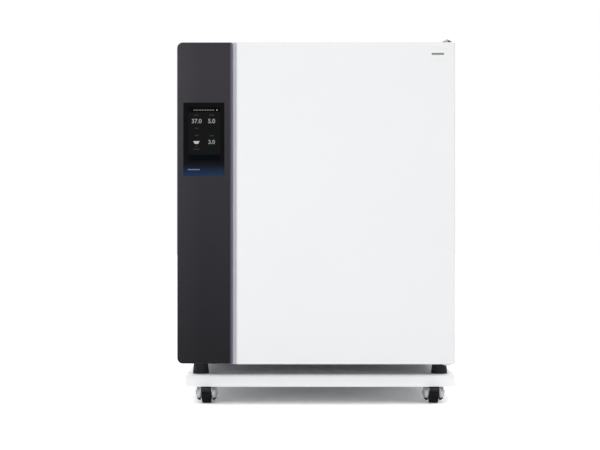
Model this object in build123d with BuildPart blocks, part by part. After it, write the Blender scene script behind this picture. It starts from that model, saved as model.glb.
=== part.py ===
"""Laboratory CO2 incubator on a low roller stand, as an assembly of separate pieces.

Millimetres. +Z is up and the door faces -Y. The origin is on the floor, in the middle of
the stand's four casters. The door swings on the right-hand side (+X). The dark control panel
is part of the door and overhangs the cabinet's left side, where its edge is the handle.
"""

from build123d import *
import os

os.makedirs("parts", exist_ok=True)

# ---------------------------------------------------------------- driving dimensions
# Roller stand: an upturned sheet tray on four swivel casters.
STAND_HALF_W = 386.0
STAND_HALF_D = 340.0
STAND_BOTTOM = 50.0
STAND_TOP = 85.0
STAND_SHEET = 2.0
STAND_BEND_R = 8.0
STAND_END_R = 4.0
WHEEL_R = 30.0
WHEEL_W = 27.0
CASTER_X = 326.5
CASTER_Y = 282.0
CASTER_TRAIL = 20.0

# Cabinet body.
CASE_HALF_W = 378.0
CASE_BOTTOM = 123.0
CASE_TOP = 1026.0
CASE_FRONT = -337.0
CASE_BACK = 354.0
CASE_SHEET = 1.5
LINED_TOP = CASE_TOP - CASE_SHEET - 0.2
FOOT_X = 343.5
FOOT_Y = 300.0
FOOT_R_BOTTOM = 23.5
FOOT_R_TOP = 20.3
FOOT_TOP = 117.0
STUD_R = 5.0
STUD_HOLE_R = 5.05

# Working chamber: inner faces of the deep-drawn liner.
CHAMBER_HALF_W = 300.0
CHAMBER_BOTTOM = 202.0
CHAMBER_TOP = 932.0
CHAMBER_FRONT = -314.1
CHAMBER_BACK = 268.0
CHAMBER_SHEET = 1.5
CHAMBER_CORNER_R = 24.0

# Front frame around the chamber's mouth, with the recess that the glass door sits in.
RECESS_HALF_W = 336.0
RECESS_BOTTOM = 170.0
RECESS_TOP = 968.0
RECESS_FLOOR = -314.0

# Outer door and its control panel.
DOOR_BOTTOM = 121.0
DOOR_TOP = 1025.0
DOOR_FRONT = -413.0
DOOR_BACK = -346.0
DOOR_SHEET = 1.5
PANEL_LEFT = -402.5
PANEL_RIGHT = -246.8
PANEL_FRONT = -415.0
PANEL_BACK = -389.0
PANEL_BOTTOM = 122.8
PANEL_TOP = 1024.3
PANEL_WALL = 3.0
DISPLAY_X = (-384.8, -269.8)
DISPLAY_Z = (649.4, 855.2)
DISPLAY_GLASS_T = 3.4

# Outer door's hinge axis, parallel to Z.
HINGE_X = 359.0
HINGE_Y = -375.0
HINGE_AXIS = (HINGE_X, HINGE_Y)
HINGE_PIN_R = 5.0

# Inner glass door: the pane and its hinge axis, parallel to Z.
PANE_X = (-318.0, 314.0)
PANE_Z = (184.0, 950.0)
PANE_Y = (-325.0, -320.0)
PIVOT_X = 322.0
PIVOT_Y = -328.0
PIVOT_PIN_R = 2.5
GLASS_HINGE_Z = (280.0, 854.0)
LATCH_X = -290.0
LATCH_Z = 567.0

# Shelves and their runners.
SHELF_LEVELS = (330.0, 510.0, 690.0)
SHELF_HALF_W = 284.0
SHELF_Y = (-268.0, 210.0)
SHELF_SHEET = 1.5
RUNNER_Y = (-215.0, 165.0)
UPRIGHT_Y = (-190.0, 140.0)

# Fan and filter at the back of the chamber.
FAN_Z = 830.0
FAN_SHAFT_R = 4.0

# Access port through the back wall.
PORT_X = -240.0
PORT_Z = 300.0
PORT_R = 21.0

# Rear housing for the electronics.
BOX_HALF_W = 230.0
BOX_Z = (600.0, 960.0)
BOX_BACK = 404.0
INLET_X = (-205.0, -137.0)
INLET_Z = (622.0, 654.0)
ROCKER_X = (-163.0, -143.0)

GAP = 0.1
RUNNING_GAP = 0.05


# ---------------------------------------------------------------- helpers
def middle(span):
    return (span[0] + span[1]) / 2


def length(span):
    return span[1] - span[0]


def block(x, y, z, mode=Mode.ADD):
    """A box between (low, high) spans on each axis, in the current part."""
    with Locations((middle(x), middle(y), middle(z))):
        Box(length(x), length(y), length(z), mode=mode)


def rod(axis, centre, radius, span, mode=Mode.ADD):
    """A cylinder along "x", "y" or "z"; centre gives the other two coordinates, in axis order."""
    turn = {"x": (0, 90, 0), "y": (-90, 0, 0), "z": (0, 0, 0)}[axis]
    place = list(centre)
    place.insert("xyz".index(axis), middle(span))
    with Locations(Location(tuple(place), turn)):
        Cylinder(radius, length(span), mode=mode)


def frontal(y):
    """A sketch plane at depth y: its X is +X, its Y is +Z, and extrusions run forward, to -Y."""
    return Plane.XZ.offset(-y)


def panel(x, z, corner_r=0.0, mode=Mode.ADD):
    """A rectangle between spans in a frontal sketch, with rounded corners if asked."""
    with Locations((middle(x), middle(z))):
        if corner_r:
            RectangleRounded(length(x), length(z), corner_r, mode=mode)
        else:
            Rectangle(length(x), length(z), mode=mode)


def keep(piece, name):
    """Labels a finished piece and writes it as one STEP file."""
    piece.part.label = name
    export_step(piece.part, f"parts/{name}.step")


# ---------------------------------------------------------------- roller stand
def tray_form(tray, inset, bottom):
    """The tray's outline, inset from its outer faces.

    The front and back are bent down to a wide radius, and the welded ends are ground to a
    small one.
    """
    half_w, half_d = STAND_HALF_W - inset, STAND_HALF_D - inset
    block((-half_w, half_w), (-half_d, half_d), (bottom, STAND_TOP - inset))
    top_edges = tray.faces().sort_by(Axis.Z)[-1].edges()
    fillet(top_edges.filter_by(Axis.X), STAND_BEND_R - inset)
    ends = [tray.faces().sort_by(Axis.X)[0], tray.faces().sort_by(Axis.X)[-1]]
    fillet([edge for end in ends for edge in end.edges().sort_by(Axis.Z)[1:]], STAND_END_R - inset)


with BuildPart() as tray_cavity:
    tray_form(tray_cavity, STAND_SHEET, STAND_BOTTOM - 5)

with BuildPart() as stand_tray:
    tray_form(stand_tray, 0, STAND_BOTTOM)
    add(tray_cavity.part, mode=Mode.SUBTRACT)
keep(stand_tray, "stand_tray")

# Each caster's fixed half: plate, bearing cup and riveted kingpin.
PLATE_Z = (80.0, STAND_TOP - STAND_SHEET)
CUP_BOTTOM = 74.0
HEAD_Z = (66.0, 73.8)
KINGPIN_R = 5.0
CORNERS = [(sx * CASTER_X, sy * CASTER_Y) for sx in (-1, 1) for sy in (-1, 1)]

with BuildPart() as caster_plates:
    for corner in CORNERS:
        with BuildSketch(Plane.XY.offset(PLATE_Z[0])):
            with Locations(corner):
                RectangleRounded(62, 62, 6)
        extrude(amount=length(PLATE_Z))
        rod("z", corner, 22, (CUP_BOTTOM, PLATE_Z[0]))
        rod("z", corner, KINGPIN_R, (62.5, CUP_BOTTOM))
        rod("z", corner, 8, (62.5, HEAD_Z[0] - 0.2))
keep(caster_plates, "caster_plates")


def caster(name, x, y, trail, braked):
    """Writes one caster's fork, wheel and axle, and its brake pedal if braked.

    trail is -1 or 1: the side of the swivel axis, along Y, that the wheel trails to.
    """
    axle_y = y + trail * CASTER_TRAIL
    leg_inner, leg_outer = 14.6, 17.2
    cheek_outer = 29.0
    axle_r = 4.0
    ear = (y + trail * 53, 42.0)
    trunnion_r = 2.5

    with BuildPart() as fork:
        rod("z", (x, y), 23, HEAD_Z)
        for side in (-1, 1):
            with BuildSketch(Plane.YZ.offset(x + side * leg_inner)):
                with Locations((axle_y, WHEEL_R)):
                    Circle(16)
                with Locations((y + trail * 2, HEAD_Z[0])):
                    Rectangle(34, 3)
                if braked:
                    with Locations(ear):
                        Circle(5)
                make_hull()
            extrude(amount=side * (leg_outer - leg_inner))
            rod("x", (axle_y, WHEEL_R), 23, sorted((x + side * leg_outer, x + side * cheek_outer)))
            rim = fork.edges().filter_by(GeomType.CIRCLE).sort_by(Axis.X)[-1 if side > 0 else 0]
            fillet(rim, 11)
            if braked:
                rod("x", ear, trunnion_r + RUNNING_GAP, sorted((x, x + side * 18)), mode=Mode.SUBTRACT)
        rod("x", (axle_y, WHEEL_R), axle_r + RUNNING_GAP, (x - 32, x + 32), mode=Mode.SUBTRACT)
        rod("z", (x, y), KINGPIN_R + RUNNING_GAP, HEAD_Z, mode=Mode.SUBTRACT)
    keep(fork, f"{name}_fork")

    with BuildPart() as wheel:
        rod("x", (axle_y, WHEEL_R), WHEEL_R, (x - WHEEL_W / 2, x + WHEEL_W / 2))
        fillet(wheel.edges().filter_by(GeomType.CIRCLE), 4)
        for side in (-1, 1):
            rim_x = x + side * WHEEL_W / 2
            rod("x", (axle_y, WHEEL_R), 20, sorted((rim_x, rim_x - side * 3)), mode=Mode.SUBTRACT)
            rod("x", (axle_y, WHEEL_R), 8, sorted((rim_x, rim_x - side * 3.5)))
        rod("x", (axle_y, WHEEL_R), axle_r + RUNNING_GAP, (x - 20, x + 20), mode=Mode.SUBTRACT)
    keep(wheel, f"{name}_wheel")

    with BuildPart() as axle:
        rod("x", (axle_y, WHEEL_R), axle_r, (x - cheek_outer - 1, x + cheek_outer + 1))
        for side in (-1, 1):
            end = x + side * (cheek_outer + GAP)
            rod("x", (axle_y, WHEEL_R), 7, sorted((end, end + side * 2.6)))
        heads = axle.edges().filter_by(GeomType.CIRCLE).sort_by(Axis.X)
        fillet([heads[0], heads[-1]], 1.5)
    keep(axle, f"{name}_axle")

    if not braked:
        return
    toe = sorted((y + trail * 53, y + trail * 78))
    with BuildPart() as pedal:
        block((x - 13, x + 13), toe, (42.5, 46.0))
        fillet(pedal.edges().filter_by(Axis.Z).sort_by(Axis.Y)[:2], 6)
        rod("x", ear, 4.2, (x - 13.8, x + 13.8))
        rod("x", ear, trunnion_r, (x - 17, x + 17))
        block((x - 12, x + 12), sorted((y + trail * 51, y + trail * 55)), (35, 42))
    keep(pedal, f"{name}_pedal")


caster("caster_fl", -CASTER_X, -CASTER_Y, -1, True)
caster("caster_fr", CASTER_X, -CASTER_Y, -1, True)
caster("caster_rl", -CASTER_X, CASTER_Y, 1, False)
caster("caster_rr", CASTER_X, CASTER_Y, 1, False)

# ---------------------------------------------------------------- cabinet shell
for side_name, foot_x in (("l", -FOOT_X), ("r", FOOT_X)):
    for end_name, foot_y in (("f", -FOOT_Y), ("r", FOOT_Y)):
        foot_height = FOOT_TOP - STAND_TOP
        with BuildPart() as levelling_foot:
            with Locations((foot_x, foot_y, STAND_TOP + foot_height / 2)):
                Cone(FOOT_R_BOTTOM, FOOT_R_TOP, foot_height)
            chamfer(levelling_foot.edges().sort_by(Axis.Z)[0], 1.2)
            rod("z", (foot_x, foot_y), STUD_R, (FOOT_TOP, 139))
        keep(levelling_foot, f"levelling_foot_{end_name}{side_name}")

FLANGE_X = CASE_HALF_W - CASE_SHEET - 0.2
with BuildPart() as base_pan:
    block((-FLANGE_X, FLANGE_X), (CASE_FRONT + 2, CASE_BACK - 2), (CASE_BOTTOM, 125))
    for side in (-1, 1):
        block(
            sorted((side * FLANGE_X, side * (FLANGE_X - 2))),
            (-308, CASE_BACK - 2),
            (125, 150),
        )
        for foot_y in (-FOOT_Y, FOOT_Y):
            centre = (side * FOOT_X, foot_y)
            rod("z", centre, 9, (125, 145))
            rod("z", centre, STUD_HOLE_R, (CASE_BOTTOM, 145), mode=Mode.SUBTRACT)
keep(base_pan, "base_pan")

# Sides and top are one folded sheet.
CASE_CORNER_R = 10.0
with BuildPart() as outer_case:
    block((-CASE_HALF_W, CASE_HALF_W), (CASE_FRONT, CASE_BACK), (CASE_BOTTOM, CASE_TOP))
    top_corners = outer_case.faces().sort_by(Axis.Z)[-1].edges().filter_by(Axis.Y)
    fillet(top_corners, CASE_CORNER_R)
    with BuildSketch(frontal(CASE_BACK)):
        panel(
            (CASE_SHEET - CASE_HALF_W, CASE_HALF_W - CASE_SHEET),
            (CASE_BOTTOM - 20, CASE_TOP - CASE_SHEET),
            CASE_CORNER_R - CASE_SHEET,
        )
    extrude(amount=CASE_BACK - CASE_FRONT, mode=Mode.SUBTRACT)
keep(outer_case, "outer_case")

with BuildPart() as rear_cover:
    with BuildSketch(frontal(CASE_BACK)):
        panel((-FLANGE_X, FLANGE_X), (125.2, LINED_TOP), 8)
        with Locations((PORT_X, PORT_Z)):
            Circle(PORT_R, mode=Mode.SUBTRACT)
        # Cable window behind the electronics housing.
        panel((60, 160), (640, 700), 8, mode=Mode.SUBTRACT)
    extrude(amount=1.8)
keep(rear_cover, "rear_cover")

with BuildPart() as front_frame:
    with BuildSketch(frontal(-309)):
        panel((-FLANGE_X, FLANGE_X), (125.2, LINED_TOP), 8)
        panel(
            (-CHAMBER_HALF_W - 1.7, CHAMBER_HALF_W + 1.7),
            (CHAMBER_BOTTOM - 1.7, CHAMBER_TOP + 1.7),
            CHAMBER_CORNER_R + 1.7,
            mode=Mode.SUBTRACT,
        )
    extrude(amount=-309 - CASE_FRONT)
    with BuildSketch(frontal(RECESS_FLOOR)):
        panel((-RECESS_HALF_W, RECESS_HALF_W), (RECESS_BOTTOM, RECESS_TOP), 20)
    extrude(amount=RECESS_FLOOR - CASE_FRONT, mode=Mode.SUBTRACT)
    mouth = front_frame.faces().sort_by(Axis.Y)[0]
    fillet(mouth.inner_wires().edges(), 2.5)
keep(front_frame, "front_frame")

# ---------------------------------------------------------------- working chamber
with BuildPart() as inner_chamber:
    block(
        (-CHAMBER_HALF_W - CHAMBER_SHEET, CHAMBER_HALF_W + CHAMBER_SHEET),
        (CHAMBER_FRONT, CHAMBER_BACK + CHAMBER_SHEET),
        (CHAMBER_BOTTOM - CHAMBER_SHEET, CHAMBER_TOP + CHAMBER_SHEET),
    )
    fillet(inner_chamber.edges().filter_by(Axis.Y), CHAMBER_CORNER_R + CHAMBER_SHEET)
    fillet(inner_chamber.faces().sort_by(Axis.Y)[-1].edges(), 12)
    offset(amount=-CHAMBER_SHEET, openings=inner_chamber.faces().sort_by(Axis.Y)[0])
    with BuildSketch(frontal(CHAMBER_FRONT)):
        panel((-316, 316), (186, 948), 38)
        panel(
            (-CHAMBER_HALF_W, CHAMBER_HALF_W),
            (CHAMBER_BOTTOM, CHAMBER_TOP),
            CHAMBER_CORNER_R,
            mode=Mode.SUBTRACT,
        )
    extrude(amount=CHAMBER_SHEET)
    rod("y", (0, FAN_Z), 8, (CHAMBER_BACK - 5, CHAMBER_BACK + 5), mode=Mode.SUBTRACT)
    rod("y", (PORT_X, PORT_Z), PORT_R, (CHAMBER_BACK - 5, CHAMBER_BACK + 5), mode=Mode.SUBTRACT)
keep(inner_chamber, "inner_chamber")

SEAL_Y = (-319.8, CHAMBER_FRONT - CHAMBER_SHEET - GAP)
with BuildPart() as chamber_seal:
    with BuildSketch(frontal(SEAL_Y[1])):
        panel((-312, 312), (190, 944), 34)
        panel((-304, 304), (198, 936), 27, mode=Mode.SUBTRACT)
    extrude(amount=length(SEAL_Y))
    fillet(chamber_seal.faces().sort_by(Axis.Y)[0].edges(), 1.8)
keep(chamber_seal, "chamber_seal")

# Foam between liner and case, with pockets for the fan motor, the foot bushes and the port.
with BuildPart() as insulation_jacket:
    block((-373.9, 373.9), (-308.7, 350), (126, LINED_TOP - 0.4))
    top_corners = insulation_jacket.faces().sort_by(Axis.Z)[-1].edges().filter_by(Axis.Y)
    fillet(top_corners, CASE_CORNER_R)
    with BuildSketch(frontal(CHAMBER_BACK + CHAMBER_SHEET + 0.3)):
        panel(
            (-CHAMBER_HALF_W - 1.8, CHAMBER_HALF_W + 1.8),
            (CHAMBER_BOTTOM - 1.8, CHAMBER_TOP + 1.8),
            CHAMBER_CORNER_R + 1.8,
        )
    extrude(amount=CHAMBER_BACK + 320, mode=Mode.SUBTRACT)
    rod("y", (0, FAN_Z), 8, (265, 284), mode=Mode.SUBTRACT)
    rod("y", (0, FAN_Z), 36, (283, 355), mode=Mode.SUBTRACT)
    rod("y", (PORT_X, PORT_Z), PORT_R, (265, 355), mode=Mode.SUBTRACT)
    for side in (-1, 1):
        for foot_y in (-FOOT_Y, FOOT_Y):
            rod("z", (side * FOOT_X, foot_y), 10, (120, 147), mode=Mode.SUBTRACT)
keep(insulation_jacket, "insulation_jacket")

# Four slotted uprights on the side walls carry the shelf runners.
with BuildPart() as shelf_uprights:
    for side in (-1, 1):
        for upright_y in UPRIGHT_Y:
            face_x = side * 290
            wall_x = side * (CHAMBER_HALF_W - GAP)
            spine_y = (upright_y - 12, upright_y + 12)
            block(sorted((face_x, face_x + side * 2)), spine_y, (240, 900))
            for edge_y in (upright_y - 11, upright_y + 11):
                block(sorted((face_x, wall_x)), (edge_y - 1, edge_y + 1), (240, 900))
    with BuildSketch(Plane.YZ):
        for upright_y in UPRIGHT_Y:
            with Locations((upright_y, 570)):
                with GridLocations(1, 45, 1, 14):
                    SlotOverall(14, 5)
    extrude(amount=295, both=True, mode=Mode.SUBTRACT)
keep(shelf_uprights, "shelf_uprights")

# C-shaped runners: the shelf's side edge slides between two lips.
with BuildPart() as shelf_runners:
    for level in SHELF_LEVELS:
        for side in (-1, 1):
            web = sorted((side * 287, side * 288.5))
            block(web, RUNNER_Y, (level - 14, level + 14))
            block(sorted((side * 264, side * 288.5)), RUNNER_Y, (level - 2.2, level - 0.3))
            block(sorted((side * 274, side * 288.5)), RUNNER_Y, (level + 2.2, level + 3.7))
            for upright_y in UPRIGHT_Y:
                hook = sorted((side * 288.5, side * 289.8))
                block(hook, (upright_y - 5, upright_y + 5), (level - 12, level + 12))
keep(shelf_runners, "shelf_runners")

for number, level in enumerate(SHELF_LEVELS, start=1):
    with BuildPart() as shelf:
        with BuildSketch(Plane.XY.offset(level)):
            with Locations((0, middle(SHELF_Y))):
                RectangleRounded(2 * SHELF_HALF_W, length(SHELF_Y), 3)
                with GridLocations(62, 34, 8, 12):
                    SlotOverall(44, 8, mode=Mode.SUBTRACT)
        extrude(amount=SHELF_SHEET)
        front_lip = (SHELF_Y[0], SHELF_Y[0] + SHELF_SHEET)
        rear_lip = (SHELF_Y[1] - SHELF_SHEET, SHELF_Y[1])
        block((-258, 258), front_lip, (level - 14, level + SHELF_SHEET))
        block((-258, 258), rear_lip, (level, level + 18))
    keep(shelf, f"shelf_{number}")

with BuildPart() as water_pan:
    block((-255, 255), (-262, 190), (203.5, 243))
    fillet(water_pan.edges().filter_by(Axis.Z), 18)
    fillet(water_pan.faces().sort_by(Axis.Z)[0].edges(), 6)
    offset(amount=-1.2, openings=water_pan.faces().sort_by(Axis.Z)[-1])
    # Front grab lip.
    block((-60, 60), (-266, -261.4), (238, 243))
keep(water_pan, "water_pan")

# Air duct in front of the back wall: fan inlet above, rows of outlet slots below.
PLENUM_Y = (214.0, CHAMBER_BACK - 0.2)
with BuildPart() as air_plenum:
    block((-190, 190), PLENUM_Y, (262, 920))
    fillet(air_plenum.faces().sort_by(Axis.Y)[0].edges().filter_by(Axis.Z), 10)
    offset(amount=-1.2, openings=air_plenum.faces().sort_by(Axis.Y)[-1])
    rod("y", (0, FAN_Z), 60, (210, 220), mode=Mode.SUBTRACT)
    with BuildSketch(frontal(220)):
        with Locations((0, 480)):
            with GridLocations(56, 60, 6, 7):
                SlotOverall(34, 6)
    extrude(amount=10, mode=Mode.SUBTRACT)
keep(air_plenum, "air_plenum")

with BuildPart() as hepa_filter:
    rod("y", (0, FAN_Z), 75, (166, PLENUM_Y[0] - GAP))
    fillet(hepa_filter.edges().sort_by(Axis.Y)[0], 5)
    rod("y", (0, FAN_Z), 52, (176, PLENUM_Y[0]), mode=Mode.SUBTRACT)
keep(hepa_filter, "hepa_filter")

# Radial impeller, running on the motor's shaft inside the duct.
with BuildPart() as fan_impeller:
    rod("y", (0, FAN_Z), FAN_SHAFT_R, (236, 300))
    rod("y", (0, FAN_Z), 14, (232, 256))
    rod("y", (0, FAN_Z), 56, (253, 256))
    with BuildSketch(frontal(253)):
        with Locations((0, FAN_Z)):
            with PolarLocations(36, 12, start_angle=0):
                with Locations(Location((0, 0), 35)):
                    Rectangle(32, 2)
    extrude(amount=21)
keep(fan_impeller, "fan_impeller")

with BuildPart() as fan_motor:
    rod("y", (0, FAN_Z), 34, (285, 345))
    fillet(fan_motor.edges().filter_by(GeomType.CIRCLE), 3)
    rod("y", (0, FAN_Z), 12, (283.4, 286))
    rod("y", (0, FAN_Z), FAN_SHAFT_R + RUNNING_GAP, (279, 302), mode=Mode.SUBTRACT)
keep(fan_motor, "fan_motor")

# Gas, temperature and humidity probes hang from the chamber's ceiling.
with BuildPart() as sensor_probes:
    for probe_x, probe_r, probe_drop in ((-110, 9, 62), (0, 5, 48), (110, 11, 70)):
        rod("z", (probe_x, 60), 16, (CHAMBER_TOP - 4, CHAMBER_TOP - GAP))
        rod("z", (probe_x, 60), probe_r, (CHAMBER_TOP - probe_drop, CHAMBER_TOP - 4))
        with Locations((probe_x, 60, CHAMBER_TOP - probe_drop)):
            Sphere(probe_r)
keep(sensor_probes, "sensor_probes")

# ---------------------------------------------------------------- inner glass door
with BuildPart() as glass_pane:
    with BuildSketch(frontal(PANE_Y[1])):
        panel(PANE_X, PANE_Z, 12)
        with Locations((LATCH_X, LATCH_Z)):
            Circle(8, mode=Mode.SUBTRACT)
    extrude(amount=length(PANE_Y))
    chamfer(glass_pane.faces().sort_by(Axis.Y)[0].outer_wire().edges(), 0.6)
keep(glass_pane, "glass_pane")

with BuildPart() as glass_hinge_leaves:
    for hinge_z in GLASS_HINGE_Z:
        block((286, 316.5), (-328, PANE_Y[0] - GAP), (hinge_z - 20, hinge_z + 20))
        block((312, PIVOT_X), (-331, PANE_Y[0] - GAP), (hinge_z - 14, hinge_z + 14))
        rod("z", (PIVOT_X, PIVOT_Y), 4.5, (hinge_z - 14, hinge_z + 14))
        bore = PIVOT_PIN_R + RUNNING_GAP
        rod("z", (PIVOT_X, PIVOT_Y), bore, (hinge_z - 14, hinge_z + 14), mode=Mode.SUBTRACT)
keep(glass_hinge_leaves, "glass_hinge_leaves")

with BuildPart() as glass_hinge_brackets:
    for hinge_z in GLASS_HINGE_Z:
        back_plate_y = (-332.5, RECESS_FLOOR - 0.2)
        block((330, RECESS_HALF_W - GAP), back_plate_y, (hinge_z - 19, hinge_z + 19))
        rod("z", (PIVOT_X, PIVOT_Y), PIVOT_PIN_R, (hinge_z - 19, hinge_z + 19))
        for lug in ((hinge_z - 19, hinge_z - 14.2), (hinge_z + 14.2, hinge_z + 19)):
            block((PIVOT_X, 330), (-332.5, -323.5), lug)
            rod("z", (PIVOT_X, PIVOT_Y), 4.5, lug)
keep(glass_hinge_brackets, "glass_hinge_brackets")

# Turn latch: knob, shaft through the pane, washer behind, and a tongue that points up when
# released and swings a quarter turn to the left, under the keeper, when locked.
with BuildPart() as glass_latch:
    rod("y", (LATCH_X, LATCH_Z), 13, (-343, -327))
    fillet(glass_latch.edges().sort_by(Axis.Y)[0], 3)
    rod("y", (LATCH_X, LATCH_Z), 7.9, (-328, PANE_Y[1] + GAP))
    rod("y", (LATCH_X, LATCH_Z), 11, (PANE_Y[1] + GAP, -317.6))
    block((LATCH_X - 4, LATCH_X + 4), (-330, -327), (LATCH_Z, LATCH_Z + 37))
    block((LATCH_X - 3, LATCH_X + 3), (-344.5, -343), (LATCH_Z - 10, LATCH_Z + 10))
keep(glass_latch, "glass_latch")

with BuildPart() as latch_keeper:
    keeper_x = (-RECESS_HALF_W + GAP, -321)
    keeper_z = (LATCH_Z - 10, LATCH_Z + 10)
    block(keeper_x, (-334.5, RECESS_FLOOR - 0.2), keeper_z)
    fillet(latch_keeper.edges().filter_by(Axis.Z).sort_by(Axis.Y)[:2].sort_by(Axis.X)[-1], 2)
    block((-331.5, -320), (-330.6, -326.4), (LATCH_Z - 11, LATCH_Z + 11), mode=Mode.SUBTRACT)
keep(latch_keeper, "latch_keeper")

# ---------------------------------------------------------------- outer door
# White pan: full-width sheet, stepped back behind the control panel, with a shallow reveal
# groove between the panel and the white front.
STEP_X = PANEL_RIGHT + 0.2
STEP_Y = PANEL_BACK + 0.2
REVEAL_X = -237.0
REVEAL_FLOOR = -404.0


def door_section(inset, back):
    """The door pan's cross-section, inset from its outer faces, as points in X and Y."""
    left, right = -CASE_HALF_W + inset, CASE_HALF_W - inset
    return [
        (left, back),
        (left, STEP_Y + inset),
        (STEP_X + inset, STEP_Y + inset),
        (STEP_X + inset, REVEAL_FLOOR + inset),
        (REVEAL_X + inset, REVEAL_FLOOR + inset),
        (REVEAL_X + inset, DOOR_FRONT + inset),
        (right, DOOR_FRONT + inset),
        (right, back),
    ]


def door_prism(inset, back, z, edge_r, mode=Mode.ADD):
    """Extrudes the door's section between two heights, with its front edges rounded."""
    with BuildSketch(Plane.XY.offset(z[0])) as section:
        with BuildLine():
            Polyline(*door_section(inset, back), close=True)
        make_face()
        fillet(section.vertices().group_by(Axis.Y)[0], edge_r)
    extrude(section.sketch, amount=length(z), mode=mode)


with BuildPart() as door_skin:
    door_prism(0, DOOR_BACK, (DOOR_BOTTOM, DOOR_TOP), 8)
    front_rim = door_skin.faces().sort_by(Axis.Y)[0].edges().filter_by(Axis.X)
    fillet(front_rim, 3)
    door_prism(
        DOOR_SHEET,
        DOOR_BACK,
        (DOOR_BOTTOM + DOOR_SHEET, DOOR_TOP - DOOR_SHEET),
        8 - DOOR_SHEET,
        mode=Mode.SUBTRACT,
    )
    rod("z", HINGE_AXIS, 8.05, (DOOR_BOTTOM - 1, DOOR_TOP + 1), mode=Mode.SUBTRACT)
    # Cable window from the control panel into the door.
    block((-300, -260), (-395, -380), (600, 630), mode=Mode.SUBTRACT)
keep(door_skin, "door_skin")

FOAM_Z = (DOOR_BOTTOM + DOOR_SHEET + 0.3, DOOR_TOP - DOOR_SHEET - 0.3)
with BuildPart() as door_insulation:
    door_prism(DOOR_SHEET + 0.3, DOOR_BACK - 3.3, FOAM_Z, 6.2)
    for pocket in ((FOAM_Z[0] - 1, 144.4), (1001.6, FOAM_Z[1] + 1)):
        rod("z", HINGE_AXIS, 8.2, pocket, mode=Mode.SUBTRACT)
keep(door_insulation, "door_insulation")

with BuildPart() as door_liner:
    block((-376.2, 376.2), (DOOR_BACK - 3, DOOR_BACK), FOAM_Z)
    # Dished middle, clear of the glass door's latch.
    with BuildSketch(frontal(DOOR_BACK)):
        panel((-300, 300), (196, 942), 30)
    extrude(amount=1.4, mode=Mode.SUBTRACT)
keep(door_liner, "door_liner")

with BuildPart() as door_gasket:
    with BuildSketch(frontal(CASE_FRONT - 0.2)):
        panel((-358, 358), (136, 1002), 24)
        panel((-340, 340), (154, 984), 10, mode=Mode.SUBTRACT)
    extrude(amount=CASE_FRONT - 0.2 - DOOR_BACK - GAP)
    fillet(door_gasket.faces().sort_by(Axis.Y)[-1].edges(), 3.5)
keep(door_gasket, "door_gasket")

# Dark control panel. Its left edge overhangs the cabinet and has a finger channel behind.
with BuildPart() as control_panel:
    with BuildSketch(frontal(PANEL_BACK)) as outline:
        panel((PANEL_LEFT, PANEL_RIGHT), (PANEL_BOTTOM, PANEL_TOP))
        fillet(outline.vertices().group_by(Axis.X)[0], 16)
    extrude(amount=PANEL_BACK - PANEL_FRONT)
    front_edges = control_panel.faces().sort_by(Axis.Y)[0].edges()
    fillet(front_edges.sort_by(Axis.X)[-1], 9)
    fillet(control_panel.faces().sort_by(Axis.Y)[0].edges().sort_by(Axis.X)[:-1], 3)
    block(
        (-376, PANEL_RIGHT - PANEL_WALL),
        (PANEL_FRONT + PANEL_WALL + 0.6, PANEL_BACK),
        (PANEL_BOTTOM + PANEL_WALL, PANEL_TOP - PANEL_WALL),
        mode=Mode.SUBTRACT,
    )
    block(
        (DISPLAY_X[0] - GAP, DISPLAY_X[1] + GAP),
        (PANEL_FRONT, PANEL_FRONT + DISPLAY_GLASS_T + GAP),
        (DISPLAY_Z[0] - GAP, DISPLAY_Z[1] + GAP),
        mode=Mode.SUBTRACT,
    )
    block(
        (-374, DISPLAY_X[1] - 5),
        (PANEL_FRONT, PANEL_BACK),
        (DISPLAY_Z[0] + 5, DISPLAY_Z[1] - 5),
        mode=Mode.SUBTRACT,
    )
    with BuildSketch(frontal(PANEL_BACK)):
        panel((-396, -380), (165, 983), 7.9)
    extrude(amount=9, mode=Mode.SUBTRACT)
keep(control_panel, "control_panel")

with BuildPart() as display_glass:
    with BuildSketch(frontal(PANEL_FRONT + DISPLAY_GLASS_T)):
        panel(DISPLAY_X, DISPLAY_Z, 1.5)
    extrude(amount=DISPLAY_GLASS_T)
    chamfer(display_glass.faces().sort_by(Axis.Y)[0].edges(), 0.4)
keep(display_glass, "display_glass")

# Touch display and its circuit board, behind the glass.
with BuildPart() as display_module:
    block((-372, -277), (PANEL_FRONT + DISPLAY_GLASS_T + GAP, -404), (672, 848))
    block((-366, -284), (-404, -402.4), (680, 840))
    for chip_x, chip_z in ((-350, 800), (-310, 760), (-345, 710)):
        block((chip_x - 11, chip_x + 11), (-402.4, -398), (chip_z - 11, chip_z + 11))
keep(display_module, "display_module")

# ---------------------------------------------------------------- outer door hinges
LUG_X = (345.0, 372.0)
with BuildPart() as door_hinge_brackets:
    for flange_z, lug_z in (((1004, 1026.1), (1026.1, 1029.1)), ((119.9, 134), (116.9, 119.9))):
        block(LUG_X, (-340, CASE_FRONT - RUNNING_GAP), flange_z)
        with BuildSketch(Plane.XY.offset(lug_z[0])):
            with Locations(HINGE_AXIS):
                Circle(13.5)
            with Locations((HINGE_X, -350)):
                Rectangle(length(LUG_X), 2 * (CASE_FRONT - RUNNING_GAP + 350))
            make_hull()
            with Locations(HINGE_AXIS):
                Circle(HINGE_PIN_R + RUNNING_GAP, mode=Mode.SUBTRACT)
        extrude(amount=length(lug_z))
keep(door_hinge_brackets, "door_hinge_brackets")

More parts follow.
